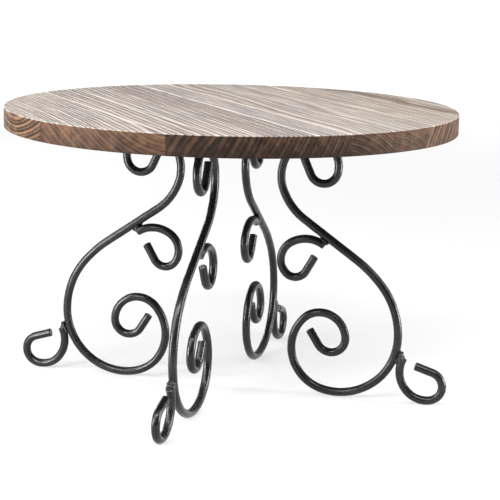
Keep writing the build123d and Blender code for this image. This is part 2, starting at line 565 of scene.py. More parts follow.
def add_round(bm: BMesh, segments: int, radii: Pair, low: float, high: float) -> None:
    """Adds a closed cylinder or cone that stands on the Z axis.

    Args:
        bm: The mesh.
        segments: Number of its sides.
        radii: Its radii at the low and the high end.
        low: Height of its low end.
        high: Height of its high end.
    """
    sizes = {"segments": segments, "radius1": radii[0], "radius2": radii[1], "depth": high - low}
    middle = Matrix.Translation((0, 0, (low + high) / 2))
    bmesh.ops.create_cone(bm, cap_ends=True, cap_tris=False, matrix=middle, **sizes)


def slice_faces(bm: BMesh, faces: Faces, place: Spot, way: Spot, clear: bool = False) -> Faces:
    """Cuts faces along a plane.

    Args:
        bm: The mesh.
        faces: The faces to cut.
        place: A point of the plane.
        way: The plane's normal.
        clear: Whether to take away what lies beyond the plane.

    Returns:
        The faces that the cut leaves.
    """
    geometry = once(item for face in faces for item in (face, *face.edges, *face.verts))
    plane = {"plane_co": place, "plane_no": way, "clear_outer": clear}
    cut = bmesh.ops.bisect_plane(bm, geom=geometry, dist=CUT_SNAP, **plane)
    return [item for item in cut["geom"] if isinstance(item, BMFace)]


def step_in(bm: BMesh, face: BMFace, width: float, rise: Vector) -> None:
    """Moves a face's sides in by a width, and what is left of the face by its rise."""
    bmesh.ops.inset_region(bm, faces=[face], thickness=width, use_even_offset=True)
    bmesh.ops.translate(bm, vec=rise, verts=face.verts)


def soften(bm: BMesh, sharp_angle: float) -> None:
    """Shades a mesh smooth, with edges left sharp where its faces meet at more than an angle.

    Args:
        bm: The mesh.
        sharp_angle: The angle in degrees.
    """
    limit = math.radians(sharp_angle)
    for face in bm.faces:
        face.smooth = True
    for edge in bm.edges:
        edge.smooth = edge.calc_face_angle(0.0) < limit


def add_object(name: str, data: bpy.types.ID) -> bpy.types.Object:
    """Puts a mesh, light or camera into the scene.

    Args:
        name: The object's name.
        data: What it shows.

    Returns:
        The object.
    """
    made = bpy.data.objects.new(name, data)
    bpy.context.scene.collection.objects.link(made)
    return made


def make_object(name: str, bm: BMesh, finish: Finish) -> bpy.types.Object:
    """Turns a mesh in millimetres into an object with a finish.

    Args:
        name: The object's name.
        bm: Its mesh, which is used up.
        finish: What it is made of.

    Returns:
        The object.
    """
    bmesh.ops.scale(bm, vec=(MM, MM, MM), verts=bm.verts)
    mesh = bpy.data.meshes.new(name)
    bm.to_mesh(mesh)
    bm.free()
    mesh.materials.append(material_of(finish))
    return add_object(name, mesh)


def finish_piece(name: str, bm: BMesh, finish: Finish, replaced: str) -> bpy.types.Object:
    """Turns a mesh in millimetres into a piece that rides on the stand.

    Args:
        name: The piece's name.
        bm: Its mesh, which is used up.
        finish: What it is made of.
        replaced: The solid that it stands for.

    Returns:
        The piece.
    """
    piece = make_object(name, bm, finish)
    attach(piece, BODY)
    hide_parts(replaced)
    LOG.info("%s: %d faces", name, len(piece.data.polygons))
    return piece


def bake_modifiers(piece: bpy.types.Object) -> None:
    """Replaces a piece's mesh by the one that its modifiers give, and removes them.

    Args:
        piece: The piece.
    """
    bpy.context.view_layer.update()
    graph = bpy.context.evaluated_depsgraph_get()
    done = bpy.data.meshes.new_from_object(piece.evaluated_get(graph), depsgraph=graph)
    piece.modifiers.clear()
    old, piece.data = piece.data, done
    bpy.data.meshes.remove(old)


# ---- Board ----


@dataclass(frozen=True)
class Waver:
    """Smooth noise over two lengths, by which a line or a groove wanders."""

    height: float
    first_length: float
    second_length: float
    shift: float = 0.0

    def at(self, first: float, second: float, seed: float) -> float:
        """The waver at a place. The seed gives each strip its own."""
        place = (first / self.first_length, second / self.second_length, seed + self.shift)
        return self.height * noise.noise(Vector(place))


@dataclass(frozen=True)
class LightLine:
    """A line along the grain that is filled with lime: a glue joint or a long check."""

    offset: float
    strength: float
    half_width: float

    def at(self, across: float) -> float:
        """Strength of the line at an offset across the grain."""
        return self.strength * max(0.0, 1 - abs(across - self.offset) / self.half_width)


LONG_WAVER = Waver(1.3, 85, 30)
SHORT_WAVER = Waver(0.3, 22, 7, shift=9)
YEARS = Waver(0.45, 2.3, 1, shift=5)
BRUSH = Waver(0.35, 0.9, 30)
BOW_START = 30.0
BOW_LENGTH = 100.0
GRAIN_NUMBERS = (
    "rings", "tone", "warmth", "figure", "rim_figure", "smoke", "top", "depth", "joint", "line",
)


@dataclass(frozen=True)
class Strip:
    """One strip of the board, and how the growth rings lie in it.

    Offsets are across the grain from the board's centre. The pith has an offset and a height
    above the floor, and the ring is a growth ring's width. The slant is how far the rings move
    sideways for each millimetre along the grain, and the bow is how far they have moved one bow
    length in front of the bow's start. The rim's smoke, partly real scorch and partly painted
    shade, is given at the near and the far side.
    """

    near: float
    far: float
    pith: Pair
    ring: float
    slant: float = 0.0
    bow: float = 0.0
    tone: float = 0.0
    warmth: float = 0.0
    figure: float = 1.0
    rim_figure: float = 1.0
    smoke: Pair = (0.5, 0.5)

    def rings_at(self, across: float, along: float, up: float, seed: float) -> float:
        """Number of growth rings between the pith and a point.

        Args:
            across: The point's offset across the grain.
            along: Its distance along the grain.
            up: Its height.
            seed: Sets this strip's own waver.

        Returns:
            The number, as a running value.
        """
        front = max(0.0, BOW_START - along) / BOW_LENGTH
        moved = across - self.slant * along + self.bow * front * front
        distance = math.hypot(moved - self.pith[0], up - self.pith[1])
        waver = LONG_WAVER.at(along, distance, seed) + SHORT_WAVER.at(along, distance, seed)
        count = (distance + waver) / self.ring
        return count + YEARS.at(count, 0.0, seed)

    def smoke_at(self, across: float) -> float:
        """How smoked the rim is at an offset across the grain, partly as real scorch and partly as painted
        shade.
        """
        near_smoke_and_shade, far_smoke_and_shade = self.smoke
        return near_smoke_and_shade + (far_smoke_and_shade - near_smoke_and_shade) * share(across, self.near, self.far)


@dataclass(frozen=True)
class DarkBand:
    """A dark brown band that wanders along the grain."""

    offset: float = 127.0
    drift: float = -0.06
    sway: float = 2.5
    sway_length: float = 19
    ripple: float = 1.2
    ripple_length: float = 7.3
    width: float = 5.5
    depth: float = 1.1

    def at(self, across: float, along: float) -> float:
        """How much lime the top lacks because of the band.

        Args:
            across: A point's offset across the grain.
            along: Its distance along the grain.

        Returns:
            The lack, where 1 is all of it.
        """
        middle = self.offset + self.drift * along + self.sway * math.sin(along / self.sway_length)
        middle += self.ripple * math.sin(along / self.ripple_length)
        return self.depth * math.exp(-(((across - middle) / self.width) ** 2))


@dataclass
class Board:
    """The round board: glued strips with a brushed, limed top and eased edges.

    The cuts are the longest steps of the strips' grid. The late wood's three numbers are the
    parts of a ring where it sets in, is full and ends. The groove is the depth to which early
    wood is brushed out, and the rim's and seams' grooves are shares of it.
    """

    diameter: float = 298.45
    top: float = 190.5
    thickness: float = 13.4
    easing: float = 0.9
    easing_segments: int = 3
    across_turn: float = 40.0
    rim_segments: int = 360
    row_cut: float = 6.5
    column_cut: float = 3.2
    fine_cut: float = 0.55
    layers: int = 4
    late_wood: Triple = (0.3, 0.8, 0.93)
    groove: float = 0.17
    rim_groove: float = 0.35
    rim_width: float = 1.4
    seam_groove: float = 0.9
    seam_width: float = 0.05
    joint_width: float = 0.55
    sharp_angle: float = 42
    seed_step: float = 13.7
    # Each strip's smoke darkens its rim partly as real scorch and partly as painted shade: most on the
    # middle strips, least on the outer strips, which are painted paler.
    strips: tuple[Strip, ...] = (
        Strip(-149.3, -143.4, pith=(-185, 206), ring=1.4, rim_figure=1.35, smoke=(0.0, 0.22)),
        Strip(-143.4, -92, pith=(-78, 216.5), ring=2.35, bow=4.5, tone=0.02,
              rim_figure=0.72, smoke=(0.5, 0.47)),
        Strip(-92, -66, pith=(-9, 145), ring=3.7, slant=0.03, bow=1.5, tone=0.03,
              figure=1.1, rim_figure=1.7, smoke=(0.86, 0.92)),
        Strip(-66, -42, pith=(-150, 235), ring=3.5, slant=0.06, tone=0.02, warmth=-0.1,
              figure=1.05, rim_figure=1.5, smoke=(0.88, 0.84)),
        Strip(-42, -10, pith=(-120, 240), ring=2.6, slant=0.07, tone=-0.2, warmth=-0.15,
              figure=1.1, rim_figure=1.1, smoke=(0.88, 0.85)),
        Strip(-10, 12, pith=(-70, 215), ring=2.3, slant=-0.03, tone=-0.12, warmth=-0.3,
              figure=0.75, smoke=(0.85, 0.75)),
        Strip(12, 44, pith=(5, 129), ring=1.9, slant=0.05, tone=-0.09, warmth=0.1,
              figure=0.75, smoke=(0.68, 0.42)),
        Strip(44, 73, pith=(40, 120), ring=2.0, slant=0.04, tone=-0.22, warmth=-0.1,
              figure=0.4, rim_figure=0.65, smoke=(0.46, 0.62)),
        Strip(73, 118, pith=(163, 138), ring=2.9, slant=0.02, tone=-0.16, warmth=0.4,
              figure=0.7, rim_figure=1.15, smoke=(0.22, 0.15)),
        Strip(118, 149.3, pith=(150, 172), ring=3.2, tone=-0.07, warmth=0.45,
              figure=0.8, smoke=(0.2, 0.15)),
    )
    light_lines: tuple[LightLine, ...] = (
        LightLine(-143.4, 0.4, 0.8),
        LightLine(-92, 0.9, 1.1),
        LightLine(-66, 0.75, 1.0),
        LightLine(-42, 0.35, 0.9),
        LightLine(-10, 1.5, 0.75),
        LightLine(12, 1.3, 0.75),
        LightLine(44, 0.4, 0.9),
        LightLine(81.5, 1.3, 0.75),
        LightLine(118, 0.4, 1.0),
    )
    dark_band: DarkBand = DarkBand()

    def build(self) -> None:
        """Makes every strip."""
        turn = Matrix.Rotation(math.radians(self.across_turn), 3, "Z")
        for number, strip in enumerate(self.strips, start=1):
            bm = self._blank()
            self._trim(bm, strip)
            self._cut_grid(bm, strip)
            self._grow(bm, strip, number * self.seed_step)
            soften(bm, self.sharp_angle)
            bmesh.ops.rotate(bm, cent=(0, 0, 0), matrix=turn, verts=bm.verts)
            finish_piece(f"limed_strip_{number}", bm, SOFTWOOD, f"board_strip_{number}")

    def _blank(self) -> BMesh:
        """Makes the whole board with eased edges, with its grain along Y.

        Returns:
            Its mesh.
        """
        bm = bmesh.new()
        radius = self.diameter / 2
        add_round(bm, self.rim_segments, (radius, radius), self.top - self.thickness, self.top)
        rims = [edge for edge in bm.edges if any(len(face.verts) > 4 for face in edge.link_faces)]
        sizes = {"offset": self.easing, "segments": self.easing_segments, "profile": 0.5}
        kind = {"offset_type": "OFFSET", "affect": "EDGES", "clamp_overlap": True, "material": -1}
        bmesh.ops.bevel(bm, geom=rims, **sizes, **kind)
        return bm

    def _trim(self, bm: BMesh, strip: Strip) -> None:
        """Takes the strip out of the whole board, and closes the cuts.

        Args:
            bm: The whole board's mesh.
            strip: The strip to keep.
        """
        for offset, outward in ((strip.far, 1), (strip.near, -1)):
            if abs(offset) < self.diameter / 2:
                slice_faces(bm, bm.faces[:], (offset, 0, 0), (outward, 0, 0), clear=True)
                open_edges = [edge for edge in bm.edges if len(edge.link_faces) == 1]
                bmesh.ops.contextual_create(bm, geom=open_edges)

    def _cut_grid(self, bm: BMesh, strip: Strip) -> None:
        """Cuts the strip into a grid that can carry its rings and relief.

        Args:
            bm: The strip's mesh.
            strip: The strip.
        """
        radius = self.diameter / 2
        near, far = max(strip.near, -radius), min(strip.far, radius)
        widest = min(abs(near), abs(far)) if near * far > 0 else 0.0
        reach = math.sqrt(radius**2 - widest**2)
        for along in inner_steps(-reach, reach, self.row_cut):
            slice_faces(bm, bm.faces[:], (0, along, 0), (0, 1, 0))
        for offset in inner_steps(near, far, self.column_cut):
            slice_faces(bm, bm.faces[:], (offset, 0, 0), (1, 0, 0))
        for layer in range(1, self.layers):
            height = self.top - self.thickness * layer / self.layers
            slice_faces(bm, bm.faces[:], (0, 0, height), (0, 0, 1))
        beside_joints = [near + self.joint_width, far - self.joint_width]
        for offset in beside_joints + inner_steps(near, far, self.fine_cut):
            upper = [face for face in bm.faces if self._crosses(face, offset)]
            slice_faces(bm, upper, (offset, 0, 0), (1, 0, 0))

    @staticmethod
    def _crosses(face: BMFace, offset: float) -> bool:
        """Whether a face looks up and reaches across an offset."""
        places = [vert.co.x for vert in face.verts]
        return face.normal.z > LOOKS_UP and min(places) < offset < max(places)

    def _grow(self, bm: BMesh, strip: Strip, seed: float) -> None:
        """Gives the strip's points what its finish reads, and brushes out the soft grain.

        Args:
            bm: The strip's mesh.
            strip: The strip.
            seed: Sets the strip's own waver.
        """
        layers = [bm.verts.layers.float.new(name) for name in GRAIN_NUMBERS]
        for vert in bm.verts:
            across, along, up = vert.co
            rings = strip.rings_at(across, along, up, seed)
            side = min(across - strip.near, strip.far - across)
            carried = (
                rings,
                strip.tone - self.dark_band.at(across, along),
                strip.warmth,
                strip.figure,
                strip.rim_figure,
                strip.smoke_at(across),
                share(up, self.top - self.easing, self.top),
                (self.top - up) / self.thickness,
                max(0.0, 1 - side / self.joint_width),
                max(line.at(across) for line in self.light_lines),
            )
            for layer, number in zip(layers, carried):
                vert[layer] = number
            if up > self.top - LEVEL_SNAP:
                brushed = max(0.0, self._early(rings) + BRUSH.at(across, along, seed))
                if side < self.seam_width:
                    brushed = max(brushed, self.seam_groove)
                out = self.diameter / 2 - math.hypot(across, along)
                kept = self.rim_groove + (1 - self.rim_groove) * share(out, 0.0, self.rim_width)
                vert.co.z -= self.groove * brushed * kept

    def _early(self, rings: float) -> float:
        """Share of soft early wood for a running ring number."""
        starts, full, ends = self.late_wood
        return 1 - share(rings % 1.0, starts, full) * (1 - share(rings % 1.0, ends, 1.0))


# ---- Legs ----


@dataclass(frozen=True)
class Bend:
    """One bend of a bar: its radius in millimetres and its turn in degrees."""

    radius: float
    turn: float


@dataclass(frozen=True)
class Stance:
    """A point of a bar's centre line in the right leg's plane, and its heading in degrees."""

    out: float
    up: float
    heading: float

    def point(self) -> Vector:
        """The point in space."""
        return Vector((self.out, 0.0, self.up))

    def way(self, turned: float = 0.0) -> Vector:
        """Unit vector along the heading, or turned from it to the left by an angle in degrees."""
        angle = math.radians(self.heading + turned)
        return Vector((math.cos(angle), 0.0, math.sin(angle)))

    def moved(self, step: Vector, turn: float = 0.0) -> "Stance":
        """The stance after a step, with its heading turned."""
        return Stance(self.out + step.x, self.up + step.z, self.heading + turn)

    def reversed(self) -> "Stance":
        """The same point, heading the other way."""
        return Stance(self.out, self.up, self.heading + 180)

    def centre(self, bend: Bend, side: Side) -> Vector:
        """Centre of a bend that starts here."""
        return self.point() + self.way(90) * bend.radius * side.value

    def after(self, bends: tuple[Bend, ...], side: Side) -> "Stance":
        """The stance at the end of tangent bends that start here.

        Args:
            bends: The bends in order.
            side: The side that they turn to.

        Returns:
            The stance at their end.
        """
        here = self
        for bend in bends:
            ended = here.moved(Vector(), side.value * bend.turn)
            arm = ended.way(90) * bend.radius * side.value
            here = ended.moved(here.centre(bend, side) - arm - here.point())
        return here

    def frame(self, aside: float = 90) -> Matrix:
        """Frame whose Z axis is the heading, with its X axis in the leg's plane.

        Args:
            aside: Angle from the heading to the X axis, 90 or -90 degrees.

        Returns:
            The frame.
        """
        ahead, left = self.way(), self.way(aside)
        turn = Matrix((left, ahead.cross(left), ahead)).transposed()
        return Matrix.Translation(self.point()) @ turn.to_4x4()


@dataclass(frozen=True)
class RoundBar:
    """Round bar: how finely it is bent, how its sides are beaten and how its ends are nipped off.

    Facets and dints are the wide and the narrow hammer marks, and the level is taken off both.
    The nip's steps are how far each goes in and how far it rises, and the pinch scales the
    last one into a ridge.
    """

    diameter: float = 5.6
    sides: int = 26
    step: float = 1.25
    step_turn: float = 7
    beaten: float = 0.055
    facet: float = 4.2
    dint: float = 1.9
    level: float = 0.35
    nip_steps: tuple[Pair, ...] = ((0.32, 0.22), (0.5, 0.165), (0.7, 0.275))
    pinch: Triple = (0.22, 1.1, 1.0)

    def start(self, stance: Stance) -> "BarEnd":
        """Starts a bar.

        Args:
            stance: Where it starts.

        Returns:
            The end that it grows from.
        """
        bm = bmesh.new()
        bm.verts.layers.float.new(THIN_PAINT)
        shape = {"segments": self.sides, "radius": self.diameter / 2, "matrix": stance.frame()}
        bmesh.ops.create_circle(bm, cap_ends=False, **shape)
        return BarEnd(self, bm, bm.edges[:], stance)

    def beat(self, bm: BMesh, seed: float) -> None:
        """Leaves the shallow facets of a hammer on the bar.

        Args:
            bm: The bar's mesh.
            seed: Sets the pattern.
        """
        bmesh.ops.recalc_face_normals(bm, faces=bm.faces)
        bm.normal_update()
        shift = Vector((seed, seed * 2, seed * 3))
        moves = []
        for vert in bm.verts:
            depth = noise.noise(vert.co / self.facet + shift)
            depth += 0.5 * noise.noise(vert.co / self.dint - shift)
            moves.append(vert.normal * self.beaten * (depth - self.level))
        for vert, move in zip(bm.verts, moves):
            vert.co += move


@dataclass
class BarEnd:
    """The end that a bar grows from as it is bent."""

    bar: RoundBar
    bm: BMesh
    ring: list[BMEdge]
    stance: Stance

    def other_way(self) -> "BarEnd":
        """The same ring, from which the bar can grow the other way."""
        return BarEnd(self.bar, self.bm, self.ring, self.stance.reversed())

    def _sweep(self, **motion: object) -> None:
        """Sweeps the ring on.

        Args:
            motion: The spin's centre, axis, angle, step vector and number of steps.
        """
        geometry = self.ring + once(vert for edge in self.ring for vert in edge.verts)
        swept = bmesh.ops.spin(self.bm, geom=geometry, use_duplicate=False, **motion)
        self.ring = [item for item in swept["geom_last"] if isinstance(item, BMEdge)]

    def bend(self, bends: tuple[Bend, ...], side: Side) -> "BarEnd":
        """Bends the bar on.

        Args:
            bends: Tangent bends in order.
            side: The side that they turn to.

        Returns:
            This end, at the place that it reaches.
        """
        for bend in bends:
            angle = math.radians(bend.turn)
            steps = max(bend.radius * angle / self.bar.step, bend.turn / self.bar.step_turn)
            self._sweep(
                cent=self.stance.centre(bend, side),
                axis=(0, -side.value, 0),
                dvec=(0, 0, 0),
                angle=angle,
                steps=max(2, math.ceil(steps)),
            )
            self.stance = self.stance.after((bend,), side)
        return self

    def run(self, length: float) -> "BarEnd":
        """Takes the bar straight on.

        Args:
            length: How far it goes.

        Returns:
            This end, at the place that it reaches.
        """
        steps = max(1, math.ceil(length / self.bar.step))
        stride = self.stance.way() * (length / steps)
        self._sweep(cent=self.stance.point(), axis=(0, 1, 0), dvec=stride, angle=0.0, steps=steps)
        self.stance = self.stance.moved(self.stance.way() * length)
        return self

    def nip_off(self, edge_turn: float, bare: float = 1.0) -> None:
        """Closes the end as cutters leave it: a broken rim and a low ridge across the cut.

        Args:
            edge_turn: Turn of the ridge about the bar in degrees.
            bare: How thin the paint lies on the cut.
        """
        cut = bmesh.ops.contextual_create(self.bm, geom=self.ring)["faces"][0]
        for width, rise in self.bar.nip_steps:
            step_in(self.bm, cut, width, self.stance.way() * rise)
        turn = self.stance.frame().to_3x3() @ Matrix.Rotation(math.radians(edge_turn), 3, "Z")
        space = Matrix.Translation(cut.calc_center_median()) @ turn.to_4x4()
        bmesh.ops.scale(self.bm, vec=self.bar.pinch, space=space.inverted(), verts=cut.verts)
        thin = self.bm.verts.layers.float[THIN_PAINT]
        for vert in cut.verts:
            for beside in (vert, *(edge.other_vert(vert) for edge in vert.link_edges)):
                beside[thin] = bare


@dataclass(frozen=True)
class Lump:
    """One drop of weld metal: its centre and half sizes along, toward the scroll and sideways."""

    along: float
    toward: float
    aside: float
    sizes: Triple


CURL_LUMPS = (
    Lump(-0.7, 2.3, 0.1, (1.5, 1.5, 2.3)),
    Lump(-2.0, 3.5, -0.5, (1.5, 0.9, 1.7)),
    Lump(1.8, 2.9, 2.0, (2.6, 1.2, 1.1)),
    Lump(2.4, 2.9, -2.0, (2.9, 1.2, 1.1)),
    Lump(0.2, 1.6, 2.1, (1.3, 1.5, 1.0)),
    Lump(0.4, 1.7, -2.1, (1.2, 1.4, 1.0)),
    Lump(-3.3, 4.2, 0.9, (0.7, 0.6, 0.8)),
)
FOOT_LUMPS = CURL_LUMPS + (
    Lump(-1.5, 2.6, 1.5, (2.2, 1.5, 1.5)),
    Lump(-1.4, 2.5, -1.6, (2.0, 1.6, 1.4)),
    Lump(-0.6, 1.2, 0.1, (1.9, 1.7, 2.3)),
    Lump(3.9, 2.3, 1.8, (2.0, 1.2, 1.2)),
    Lump(4.2, 2.3, -1.7, (1.8, 1.2, 1.2)),
    Lump(0.6, 0.7, 2.3, (2.3, 1.8, 0.9)),
    Lump(0.8, 0.6, -2.3, (2.2, 1.8, 0.9)),
    Lump(2.9, -0.6, 2.35, (0.7, 0.8, 0.6)),
    Lump(1.7, -1.4, 2.0, (0.6, 0.6, 0.7)),
)
TAB_LUMPS = (
    Lump(-2.6, 1.9, 2.0, (1.7, 1.3, 1.4)),
    Lump(2.5, 1.9, 2.1, (1.8, 1.3, 1.4)),
    Lump(-2.4, 1.9, -2.1, (1.8, 1.2, 1.5)),
    Lump(2.7, 1.9, -2.0, (1.6, 1.3, 1.4)),
    Lump(0.2, 2.0, 2.6, (2.0, 1.0, 1.4)),
    Lump(-0.1, 2.0, -2.6, (2.1, 1.0, 1.4)),
)


@dataclass
class WeldBead:
    """Rough weld metal between two bars, or between a bar and its tab.

    Drops lie up to the scatter off their places, with sizes that vary between two shares, and
    run into one skin of cells that has a crust of pits.
    """

    scatter: float = 0.2
    size_shares: Pair = (0.9, 1.12)
    skin: float = 0.32
    crust: float = 0.46
    pit: float = 1.1
    crust_level: float = 0.45

    def build(self, name: str, lumps: tuple[Lump, ...], place: Matrix, seed: int) -> None:
        """Makes a bead.

        Args:
            name: The solid that it stands for.
            lumps: Its drops.
            place: Frame whose Z axis runs along the bar and X axis to the other part.
            seed: Sets its roughness.
        """
        chance = random.Random(seed)
        bm = bmesh.new()
        for lump in lumps:
            at = Vector((lump.toward, lump.aside, lump.along))
            at += Vector([chance.uniform(-self.scatter, self.scatter) for _ in range(3)])
            along, toward, aside = (size * chance.uniform(*self.size_shares) for size in lump.sizes)
            shape = Matrix.Translation(at) @ Matrix.Diagonal((toward, aside, along, 1.0))
            bmesh.ops.create_icosphere(bm, subdivisions=3, radius=1.0, matrix=place @ shape)
        piece = finish_piece(f"{name}_bead", bm, WELD_PAINT, name)
        remesh = piece.modifiers.new("skin", "REMESH")
        remesh.mode = "VOXEL"
        remesh.voxel_size = self.skin * MM
        bake_modifiers(piece)
        self._roughen(piece.data, seed)

    def _roughen(self, mesh: bpy.types.Mesh, seed: int) -> None:
        """Gives the bead its crust of pits and ripples.

        Args:
            mesh: The bead's mesh, in metres.
            seed: Sets the pattern.
        """
        bm = bmesh.new()
        bm.from_mesh(mesh)
        axes = {"use_axis_x": True, "use_axis_y": True, "use_axis_z": True}
        bmesh.ops.smooth_vert(bm, verts=bm.verts, factor=0.5, **axes)
        bm.normal_update()
        for vert in bm.verts:
            here = vert.co / MM
            depth = noise.turbulence(here / self.pit + Vector((seed, 0, 0)), 2, False)
            vert.co += vert.normal * self.crust * MM * (depth - self.crust_level)
        soften(bm, 180)
        bm.to_mesh(mesh)
        bm.free()


@dataclass
class ScrollLeg:
    """One leg: a main scroll with an inner curl and a foot curl welded to it.

    The ridges are the turns of the nipped ends about their bars in degrees. A welded end has
    little bare metal, because the weld's paint covers it.
    """

    crest_out: float = 56.0
    crest_up: float = 172.1
    weld_gap: float = 0.2
    foot_spacing: float = 6.1
    top_curl_end: float = 12.4
    scroll_end: float = 11.4
    curl_end: float = 11.8
    inner_along: float = 21.0
    top_ridge: float = 20
    scroll_ridge: float = 95
    inner_ridge: float = 90
    foot_ridge: float = 70
    inner_weld_bare: float = 0.5
    foot_weld_bare: float = 0.12
    sharp_angle: float = 50
    top_curl: tuple[Bend, ...] = (Bend(17.5, 105), Bend(9.6, 141))
    neck: tuple[Bend, ...] = (Bend(17.5, 40), Bend(27.5, 70), Bend(39.5, 35.5))
    belly: tuple[Bend, ...] = (Bend(86, 15.5), Bend(54, 39), Bend(41, 91))
    spiral: tuple[Bend, ...] = (Bend(41, 13), Bend(28.5, 119), Bend(17, 135.5), Bend(10, 150))
    inner_curl: tuple[Bend, ...] = (Bend(20.7, 71), Bend(13.4, 93), Bend(8.6, 111))
    foot_back: tuple[Bend, ...] = (Bend(16.6, 47.5), Bend(19.2, 69.5))
    foot_curl: tuple[Bend, ...] = (Bend(16.6, 14.5), Bend(9.7, 148.5))
    bar: RoundBar = RoundBar()

    def __post_init__(self) -> None:
        """Works out where the straight and the curls lie."""
        radius = self.bar.diameter / 2
        self.crest = Stance(self.crest_out, self.crest_up, 0)
        slope = self.crest.reversed().after(self.neck, Side.LEFT)
        fall = slope.after(self.belly, Side.RIGHT).up - slope.up
        self.straight = (radius - slope.up - fall) / slope.way().z
        lowest = slope.moved(slope.way() * self.straight).after(self.belly, Side.RIGHT)
        beside = slope.way() * self.inner_along + slope.way(-90) * (self.bar.diameter + self.weld_gap)
        self.inner_start = slope.moved(beside).reversed()
        hub = lowest.centre(self.spiral[0], Side.RIGHT)
        back = Stance(0, radius, 180).after(self.foot_back, Side.RIGHT)
        spread = self.belly[-1].radius + self.foot_spacing
        start_out = hub.x + math.sqrt(spread**2 - (hub.z - back.up) ** 2)
        self.foot_lowest = Stance(start_out - back.out, radius, 0)
        self.foot_start = back.moved(Vector((self.foot_lowest.out, 0, 0))).reversed()

    def build(self, leg: Leg) -> None:
        """Makes every piece of one leg.

        Args:
            leg: Which leg.
        """
        self._main_scroll(leg)
        self._inner_curl(leg)
        self._foot_curl(leg)
        # Each weld has its part, drops, frame and seed.
        welds = (
            ("inner_curl_weld", CURL_LUMPS, self.inner_start.frame(-90), 15),
            ("foot_curl_weld", FOOT_LUMPS, self.foot_start.frame(-90), 14),
            ("tab_weld", TAB_LUMPS, self.crest.frame(), 3),
        )
        beads = WeldBead()
        for part, lumps, place, seed in welds:
            beads.build(leg.node(part), lumps, leg.turn() @ place, leg.value + seed)

    def _finish(self, leg: Leg, part: str, bm: BMesh) -> None:
        """Beats and dresses a bar, and stands it in its leg's plane.

        Args:
            leg: Which leg.
            part: The bar's part of the leg.
            bm: Its mesh in the right leg's plane.
        """
        # Each bar gets hammer marks of its own.
        self.bar.beat(bm, leg.value / 7 + len(part))
        soften(bm, self.sharp_angle)
        bmesh.ops.transform(bm, matrix=leg.turn(), verts=bm.verts)
        finish_piece(leg.node(f"{part}_bar"), bm, BAR_PAINT, leg.node(part))

    def _main_scroll(self, leg: Leg) -> None:
        """Bends the main scroll from its crest, out to the top curl and down to the spiral.

        Args:
            leg: Which leg.
        """
        outer = self.bar.start(self.crest)
        lower = outer.other_way()
        outer.bend(self.top_curl, Side.RIGHT).run(self.top_curl_end).nip_off(self.top_ridge)
        lower.bend(self.neck, Side.LEFT).run(self.straight)
        lower.bend(self.belly + self.spiral, Side.RIGHT).run(self.scroll_end).nip_off(self.scroll_ridge)
        self._finish(leg, "main_scroll", outer.bm)

    def _inner_curl(self, leg: Leg) -> None:
        """Bends the inner curl from its weld on the straight.

        Args:
            leg: Which leg.
        """
        free = self.bar.start(self.inner_start)
        welded = free.other_way()
        free.bend(self.inner_curl, Side.LEFT).run(self.curl_end).nip_off(self.inner_ridge)
        welded.nip_off(0, self.inner_weld_bare)
        self._finish(leg, "inner_curl", free.bm)

    def _foot_curl(self, leg: Leg) -> None:
        """Bends the foot curl from its lowest point, out to its end and back up to its weld.

        Args:
            leg: Which leg.
        """
        free = self.bar.start(self.foot_lowest)
        welded = free.other_way()
        free.bend(self.foot_curl, Side.LEFT).run(self.curl_end).nip_off(self.foot_ridge)
        welded.bend(self.foot_back, Side.RIGHT).nip_off(0, self.foot_weld_bare)
        self._finish(leg, "foot_curl", free.bm)


# ---- Fixings under the board ----


